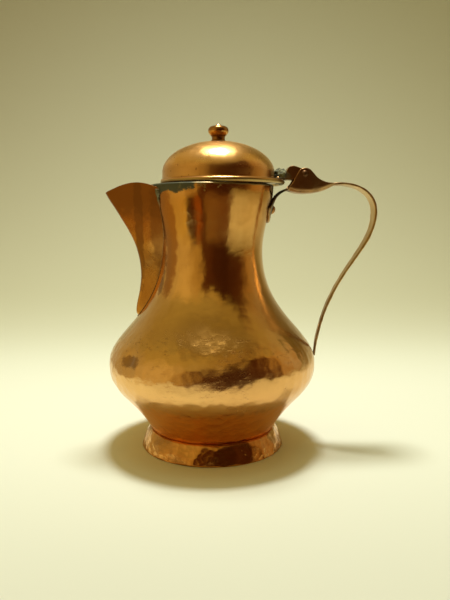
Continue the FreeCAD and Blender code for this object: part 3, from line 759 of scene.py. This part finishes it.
def spoutEdge():
    # height of the spout's upper edge, by how far along the pot it is
    s = spout
    rimRadius, rimHeight = vessel["rim"]
    tip = -rimRadius - s["tipReach"]
    seamX = -math.sqrt(rimRadius ** 2 - (s["mouthWidth"] / 2) ** 2)
    knots = [(seamX / 2, rimHeight - s["seamDrop"] - s["crest"]), (seamX, rimHeight - s["seamDrop"]),
             (-rimRadius - s["crestOut"], rimHeight + s["crest"]), (tip, rimHeight - s["drop"]),
             (tip - s["noseRadius"], rimHeight - s["drop"] - s["crest"])]
    return np.polynomial.Polynomial.fit(*zip(*knots), len(knots) - 1)


def makeSpout():
    s = spout
    rimHeight = vessel["rim"][1]
    low, high = s["footHeight"], rimHeight + s["overRim"]
    nose0, nose1 = np.array([-s["footSink"], low]), np.array([s["tipReach"] + s["overRim"], high])
    noseLine = bezier(nose0, nose0 + s["noseFootLeg"], nose1 + s["noseMouthLeg"], nose1, s["lineSteps"])
    seamLine = spoutSeamLine()
    edge = spoutEdge()
    flank = s["flankShare"]

    def pointAt(u, height):
        # u runs from one seam over the nose to the other seam
        radius = float(vesselRadius(min(height, rimHeight) * mm)) / mm
        reach = np.interp(height, noseLine[:, 1], noseLine[:, 0])
        half = np.interp(height, seamLine[:, 1], seamLine[:, 0])
        nose = min(s["noseRadius"], half / 2)
        centre = np.array([-radius - reach + nose, 0.0])
        inBody = radius - s["bite"]
        seam = np.array([-min(math.sqrt(inBody ** 2 - half ** 2), radius + reach - 2 * nose), -half])
        toSeam = seam - centre
        bearing = math.atan2(toSeam[1], toSeam[0])
        turn = math.acos(min(1.0, nose / np.hypot(*toSeam)))
        touchAngle = bearing - turn
        touch = centre + nose * np.array([math.cos(touchAngle), math.sin(touchAngle)])
        side = 1 if u <= 0.5 else -1
        w = u if u <= 0.5 else 1 - u
        if w < flank:
            flat = seam + (touch - seam) * (w / flank)
        else:
            start = touchAngle % fullTurn
            swing = start + (math.pi - start) * (w - flank) / (0.5 - flank)
            flat = centre + nose * np.array([math.cos(swing), math.sin(swing)])
        return np.array([flat[0], flat[1] * side, height])

    along = np.concatenate([np.linspace(0, flank, s["flankSteps"], endpoint=False),
                            np.linspace(flank, 1 - flank, 2 * s["noseSteps"], endpoint=False),
                            np.linspace(1 - flank, 1.0, s["flankSteps"] + 1)])
    phases = np.random.default_rng(s["edgeSeed"]).uniform(0, fullTurn, s["edgeWaves"])
    columns = []
    for u in along:
        top = rimHeight
        for _ in range(s["edgeTries"]):
            top = (top + float(edge(pointAt(u, top)[0]))) / 2    # the edge's height at this column, by halves
        # long waves along the edge, the shorter ones weaker, none at the seams
        ripple = sum(math.sin(fullTurn * (n + 2) * u + phase) / (n + 1.5) for n, phase in enumerate(phases))
        top += s["edgeWave"] * ripple * math.sin(math.pi * u) ** 0.5
        columns.append([pointAt(u, low + (top - low) * v) for v in np.linspace(0, 1, s["rows"])])
    mesh = gridMesh("spout", np.array(columns).transpose(1, 0, 2) * mm)
    setShare(mesh, np.ones(len(mesh.vertices)))
    obj = addObject("spoutSheet", mesh)
    middle = mesh.polygons[(s["rows"] // 2) * (len(along) - 1) + len(along) // 2]
    if middle.normal.x > 0:
        mesh.flip_normals()
    hammered(obj, s["hammer"], makeCopper("spoutCopper", s["copper"]))
    thick = obj.modifiers.new("sheet", "SOLIDIFY")
    thick.thickness = s["sheet"] * mm
    thick.offset = -1
    soft = obj.modifiers.new("edges", "BEVEL")
    soft.width = s["edgeRound"] * mm
    soft.segments = s["edgeRoundSteps"]
    soft.limit_method = "ANGLE"
    soft.angle_limit = math.radians(s["edgeAngle"])
    return settle(obj)


spoutSheet = makeSpout()
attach(spoutSheet, "pot")
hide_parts("spout")
print("spout:", len(spoutSheet.data.polygons), "faces")


# solder that was run into both seams between spout and body, wider at the top
solder = dict(radius=0.40, wedge=2.0, wedgeHeight=13.0, uneven=0.45, lumpScale=260.0, steps=160, sides=10,
              overFoot=1.0, underEdge=0.3, proud=0.1,
              copper=dict(darkCopper, bright=(0.36, 0.20, 0.07, 1), red=(0.26, 0.11, 0.035, 1), stainsAndPaintedLight=[
                  (tinSolderAndShade, (-0.033, 0.024, 0.179), (0.02, 0.02, 0.011), 0.25, 0.9)]))


def makeSolderTree():
    # a bead along a path of edges that widens to the wedge between two heights
    tree, start = newTree("solderBead", "Geometry",
                          {"Geometry": "Geometry", "Radius": 0.0005, "Wedge": 0.0010, "Wedge From": 0.16,
                           "Wedge To": 0.17, "Uneven": 0.4, "Lump Scale": 260.0, "Sides": 10,
                           "Finish": "Material"}, {"Geometry": "Geometry"})
    line = addNode(tree, "GeometryNodeMeshToCurve", {0: start["Geometry"]}).outputs[0]
    place = addNode(tree, "GeometryNodeInputPosition").outputs[0]
    wide = mapRange(tree, splitXyz(tree, place)["Z"], start["Wedge From"], start["Wedge To"],
                    start["Radius"], start["Wedge"])
    swell = times(tree, minus(tree, noise(tree, place, start["Lump Scale"]), 0.5), start["Uneven"])
    radius = times(tree, wide, plus(tree, times(tree, swell, 2.0), 1.0))
    sized = addNode(tree, "GeometryNodeSetCurveRadius", {"Curve": line, "Radius": radius}).outputs[0]
    ring = addNode(tree, "GeometryNodeCurvePrimitiveCircle", {"Resolution": start["Sides"], "Radius": 1.0})
    bead = addNode(tree, "GeometryNodeCurveToMesh",
                   {"Curve": sized, "Profile Curve": ring.outputs[0], "Fill Caps": True,
                    "Scale": addNode(tree, "GeometryNodeInputRadius").outputs[0]})
    real = addNode(tree, "GeometryNodeRealizeInstances", {"Geometry": bead.outputs[0]})
    addNode(tree, "NodeGroupOutput", {"Geometry": finishNode(tree, real.outputs[0], start["Finish"])})
    return tree


def makeSolder():
    k, s = solder, spout
    low, high = s["footHeight"] + k["overFoot"], vessel["rim"][1] - s["seamDrop"] - k["underEdge"]
    seamLine = spoutSeamLine()
    rise = np.linspace(low, high, k["steps"])
    half = np.interp(rise, seamLine[:, 1], seamLine[:, 0])
    radius = vesselRadius(rise * mm) / mm + k["proud"]
    verts, edges = [], []
    for side in (-1, 1):
        first = len(verts)
        path = np.stack([-np.sqrt(radius ** 2 - half ** 2), side * half, rise], 1) * mm
        verts += path.tolist()
        edges += [(first + n, first + n + 1) for n in range(k["steps"] - 1)]
    mesh = bpy.data.meshes.new("solderPath")
    mesh.from_pydata(verts, edges, [])
    obj = runTree(addObject("spoutSolder", mesh), makeSolderTree(),
                  {"Radius": k["radius"] * mm, "Wedge": k["wedge"] * mm,
                   "Wedge From": (high - k["wedgeHeight"]) * mm, "Wedge To": high * mm, "Uneven": k["uneven"],
                   "Lump Scale": k["lumpScale"], "Sides": k["sides"],
                   "Finish": makeCopper("solderCopper", k["copper"])})
    faceOutwards(obj.data)
    return obj


spoutSolder = makeSolder()
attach(spoutSolder, "pot")
print("spout solder:", len(spoutSolder.data.polygons), "faces")


# handle and lug: the same forms with the edges worn round and hammer marks on them
strap = dict(voxel=0.38, softness=0.5, rounds=6,
             hammer={"Dent Size": 0.0050, "Dent Depth": 0.00022, "Sway Size": 0.018, "Sway Depth": 0.0006,
                     "Seed": 21},
             copper=dict(darkCopper, stainsAndPaintedLight=[
                 # the strap's front end round the riser and ears made darker: partly tarnish, partly painted
                 # shade
                 (blackTarnishAndShade, (0.043, 0.0, 0.169), (0.010, 0.020, 0.014), 0.3, 0.8),
                 # lighter tan on the outer loop, worn by hands
                 (tanWearAndHighlight, (0.112, 0.0, 0.128), (0.034, 1.0, 0.064), 0.22, 0.8),
                 (verdigris, (0.046, 0.0, 0.177), (0.007, 0.012, 0.007), 0.5, 0.75)]))
lug = dict(voxel=0.24, softness=0.5, rounds=5,
           hammer={"Dent Size": 0.0040, "Dent Depth": 0.00018, "Sway Size": 0.010, "Sway Depth": 0.0004,
                   "Seed": 27},
           copper=dict(darkCopper, stainsAndPaintedLight=[
               (verdigris, (0.047, 0.004, 0.1865), (0.005, 0.009, 0.004), 0.5, 0.8),
               # painted highlight: an orange gleam on top of the lug's arch
               (tanWearAndHighlight, (0.0535, 0.0, 0.1935), (0.004, 0.004, 0.0022), 0.3, 0.8)]))


def wornForm(name, nodeName, wear, finish):
    node = frame["nodes"][nodeName]
    mesh = node.data.copy()
    mesh.transform(node.matrix_world)
    mesh.materials.clear()
    obj = addObject(name, mesh)
    even = obj.modifiers.new("even", "REMESH")
    even.mode = "VOXEL"
    even.voxel_size = wear["voxel"] * mm
    soft = obj.modifiers.new("soft", "SMOOTH")
    soft.factor = wear["softness"]
    soft.iterations = wear["rounds"]
    settle(obj)
    setShare(obj.data, np.ones(len(obj.data.vertices)))
    return hammered(obj, wear["hammer"], finish)


handleStrap = wornForm("handleStrap", "handle", strap, makeCopper("strapCopper", strap["copper"]))
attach(handleStrap, "pot")
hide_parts("handle")
print("handle:", len(handleStrap.data.polygons), "faces")

lidLug = wornForm("lidLug", "hinge_lug", lug, makeCopper("lugCopper", lug["copper"]))
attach(lidLug, "lid")
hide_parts("hinge_lug")
print("hinge lug:", len(lidLug.data.polygons), "faces")


# crust of old solder and verdigris on the lug, between dome and hinge; lengths in metres
crustCentre = (0.0468, 0.0, 0.1858)
crust = dict(reach=(0.0047, 0.0054, 0.0054), base=0.1842, baseFade=0.001, poleDeg=86, rows=40, columns=80,
             hammer={"Dent Size": 0.0019, "Dent Depth": 0.0013, "Dent Softness": 0.1, "Sway Size": 0.004,
                     "Sway Depth": 0.0030, "Seed": 33},
             copper=dict(darkCopper, stainsAndPaintedLight=[
                 (paleVerdigris, crustCentre, (1.0, 1.0, 1.0), 0.0, 1.0),
                 (verdigris, crustCentre, (0.0075, 0.0080, 0.0060), 1.3, 0.85)]))


def makeCrust():
    k = crust
    rise = np.radians(np.linspace(-k["poleDeg"], k["poleDeg"], k["rows"]))[:, None]
    turn = ringAngles(k["columns"])[None, :]
    ball = np.stack([np.cos(rise) * np.cos(turn), np.cos(rise) * np.sin(turn), np.sin(rise) + 0 * turn], -1)
    points = np.array(crustCentre) + ball * k["reach"]
    points[..., 2] = np.maximum(points[..., 2], k["base"])
    ends = ((0, points[0].mean(0)), (k["rows"] - 1, points[-1].mean(0)))
    mesh = gridMesh("verdigrisCrust", points, wrapColumns=True, poles=ends)
    heights = np.array([v.co.z for v in mesh.vertices])
    setShare(mesh, fade(heights, k["base"], k["base"] + k["baseFade"]))
    faceOutwards(mesh)
    return hammered(addObject("verdigrisCrust", mesh), k["hammer"], makeCopper("crustCopper", k["copper"]))


verdigrisCrust = makeCrust()
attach(verdigrisCrust, "lid")
print("verdigris crust:", len(verdigrisCrust.data.polygons), "faces")


# the smaller pieces keep their shape and get finishes of their own
rivetCopper = dict(darkCopper, bright=(0.46, 0.23, 0.07, 1), red=(0.36, 0.15, 0.035, 1))
pinCopper = dict(darkCopper, bright=(0.17, 0.095, 0.042, 1), red=(0.13, 0.065, 0.027, 1),
                 roughLow=0.46, roughHigh=0.60)
# darker brown bands on the knob's narrow neck and near its top
knobCopper = dict(polishedCopper, stainsAndPaintedLight=[band(brownTarnishAndDarkReflection, 0.2105, 0.0028, 0.2, 0.8),
                                          band(brownTarnishAndDarkReflection, 0.2175, 0.0016, 0.3, 0.6)])
# paler copper on the knob's rivet head: a painted highlight
knobRivetHighlightCopper = dict(polishedCopper, bright=(0.95, 0.76, 0.46, 1), red=(0.95, 0.70, 0.38, 1),
                       roughLow=0.30, roughHigh=0.42)
smallPieces = {"bottom_plate": hammeredFinish,
               "handle_rivet": makeCopper("rivetCopper", rivetCopper),
               "hinge_pin": makeCopper("pinCopper", pinCopper),
               "lid_knob": makeCopper("knobCopper", knobCopper),
               "knob_rivet": makeCopper("knobRivetHighlightCopper", knobRivetHighlightCopper),
               "lug_rivets": makeCopper("darkCopper", darkCopper)}
for nodeName, finish in smallPieces.items():
    node = frame["nodes"][nodeName]
    node.data.materials.clear()
    node.data.materials.append(finish)
print("smaller pieces:", len(smallPieces), "finished")


# a pale sheet that sweeps up behind the pot and ends a little in front of it, darker towards the back, with
# painted shade darkening it towards the front; its left edge is (y, x) points
stage = dict(edge=[(-1.40, 1.10), (-0.236, 0.17), (-0.235, -0.27), (0.0, -0.27), (0.20, -0.27),
                   (0.34, -0.33)],
             right=2.2, bendRadius=0.85, bendTurns=(4, 90, 24), spread=0.40, wallTop=2.4,
             near=(0.85, 0.915, 0.765, 1), paintedFrontShade=(0.74, 0.795, 0.665, 1), back=(0.65, 0.68, 0.485, 1),
             paintedShadeFade=(0.0, -0.22), backFade=(0.10, 0.62), rough=0.9, shine=0.1)


def makeStage():
    g = stage
    left = [(x, y, 0.0) for y, x in g["edge"]]
    bendX, bendY, _ = left[-1]
    for turn in np.radians(np.linspace(*g["bendTurns"])):
        out = g["bendRadius"] * math.sin(turn)
        left.append((bendX - g["spread"] * out, bendY + out, g["bendRadius"] * (1 - math.cos(turn))))
    left.append((*left[-1][:2], g["wallTop"]))
    left = np.array(left)
    right = left.copy()
    right[:, 0] = g["right"]
    mesh = gridMesh("paleSheet", np.stack([left, right], 1))
    sheet = addObject("paleSheet", mesh)
    material, tree, shader, place = newMaterial("paleSheet")
    depth = splitXyz(tree, place)["Y"]
    # painted shade: the sheet darkens towards its front edge
    front = mixColour(tree, mapRange(tree, depth, *g["paintedShadeFade"]), g["near"], g["paintedFrontShade"])
    pale = mixColour(tree, mapRange(tree, depth, *g["backFade"]), front, g["back"])
    setInputs(tree, shader, {"Base Color": pale, "Roughness": g["rough"], "Specular IOR Level": g["shine"]})
    mesh.materials.append(material)
    mesh.shade_smooth()


# the room round the sheet, the same for the camera and for the metal: soft colours by bearing, where 0 is
# the front and plus is towards the handle; a wall's fourth number is its height
room = dict(ceiling=(0.45, 0.345, 0.108, 1), shade=(0.235, 0.165, 0.043, 1), zenith=(1.9, 1.72, 1.08, 1),
            raggedScale=4.0, raggedDetail=1.0, wallSway=0.5, floorSway=0.4, heightSway=0.5,
            floorFade=(-0.18, -0.32), ceilingFade=(0.0, 0.16), shadeFade=(0.80, 0.93),
            zenithFade=(0.945, 0.995),
            walls=[(-180, (0.60, 0.58, 0.40, 0.46)), (-112, (0.46, 0.36, 0.16, 0.46)),
                   (-60, (0.66, 0.50, 0.19, 0.46)), (-34, (0.46, 0.31, 0.09, 0.46)),
                   (-16, (0.085, 0.028, 0.007, 0.46)), (24, (0.050, 0.016, 0.005, 0.58)),
                   (64, (0.085, 0.030, 0.008, 0.72)), (84, (0.44, 0.28, 0.09, 0.70)),
                   (120, (0.55, 0.46, 0.27, 0.50)), (180, (0.60, 0.58, 0.40, 0.46))],
            floor=[(-180, (0.56, 0.41, 0.11)), (-56, (0.60, 0.43, 0.11)), (-48, (0.047, 0.014, 0.0035)),
                   (-36, (0.068, 0.020, 0.0043)), (-27, (0.31, 0.090, 0.010)), (-18, (0.077, 0.026, 0.007)),
                   (-8, (0.22, 0.12, 0.034)), (28, (0.18, 0.085, 0.026)), (44, (0.22, 0.13, 0.045)),
                   (180, (0.40, 0.30, 0.12))])


def bandColours(tree, bearing, stops):
    turn = mapRange(tree, bearing, -math.pi, math.pi, kind="LINEAR")
    bands = addNode(tree, "ShaderNodeValToRGB", {"Fac": turn})
    ramp = bands.color_ramp
    ramp.interpolation = "EASE"
    while len(ramp.elements) < len(stops):
        ramp.elements.new(0.5)
    for element, (degrees, colour) in zip(ramp.elements, stops):
        element.position = (degrees + 180) / 360
        element.color = (*colour, 1)[:4]
    return bands.outputs


def makeRoom():
    r = room
    world = bpy.data.worlds.new("room")
    scene.world = world
    world.use_nodes = True
    tree = world.node_tree
    back = next(n for n in tree.nodes if n.type == "BACKGROUND")
    way = addNode(tree, "ShaderNodeTexCoord").outputs["Generated"]
    split = splitXyz(tree, way)
    uneven = minus(tree, noise(tree, way, r["raggedScale"], r["raggedDetail"]), 0.5)
    bearing = mathNode(tree, "ARCTAN2", split["X"], times(tree, split["Y"], -1.0))
    walls = bandColours(tree, plus(tree, bearing, times(tree, uneven, r["wallSway"])), r["walls"])
    floor = bandColours(tree, plus(tree, bearing, times(tree, uneven, r["floorSway"])), r["floor"])
    sides = mixColour(tree, mapRange(tree, split["Z"], *r["floorFade"]), walls["Color"], floor["Color"])
    rise = plus(tree, minus(tree, split["Z"], walls["Alpha"]), times(tree, uneven, r["heightSway"]))
    covered = mixColour(tree, mapRange(tree, rise, *r["ceilingFade"]), sides, r["ceiling"])
    above = mixColour(tree, mapRange(tree, split["Z"], *r["shadeFade"]), covered, r["shade"])
    shown = mixColour(tree, mapRange(tree, split["Z"], *r["zenithFade"]), above, r["zenith"])
    tree.links.new(shown, back.inputs["Color"])


lamp = dict(place=(0.0, 0.125, 1.0), size=0.20, power=8.2, colour=(1.0, 0.985, 0.95))


def makeLamp():
    data = bpy.data.lights.new("overhead", "AREA")
    data.shape = "DISK"
    data.size = lamp["size"]
    data.energy = lamp["power"]
    data.color = lamp["colour"]
    addObject("overhead", data).location = lamp["place"]


view = dict(place=(0.0, -0.4195, 0.1552), pitchDown=7.3, yawRight=1.227, lens=36.42, sensor=36.0,
            nearest=0.01)


def makeCamera():
    data = bpy.data.cameras.new("camera")
    data.lens = view["lens"]
    data.sensor_width = view["sensor"]
    data.clip_start = view["nearest"]
    obj = addObject("camera", data)
    obj.location = view["place"]
    obj.rotation_euler = (math.radians(90 - view["pitchDown"]), 0, math.radians(-view["yawRight"]))
    scene.camera = obj


makeStage()
makeRoom()
makeLamp()
makeCamera()
print("stage, light and camera set")
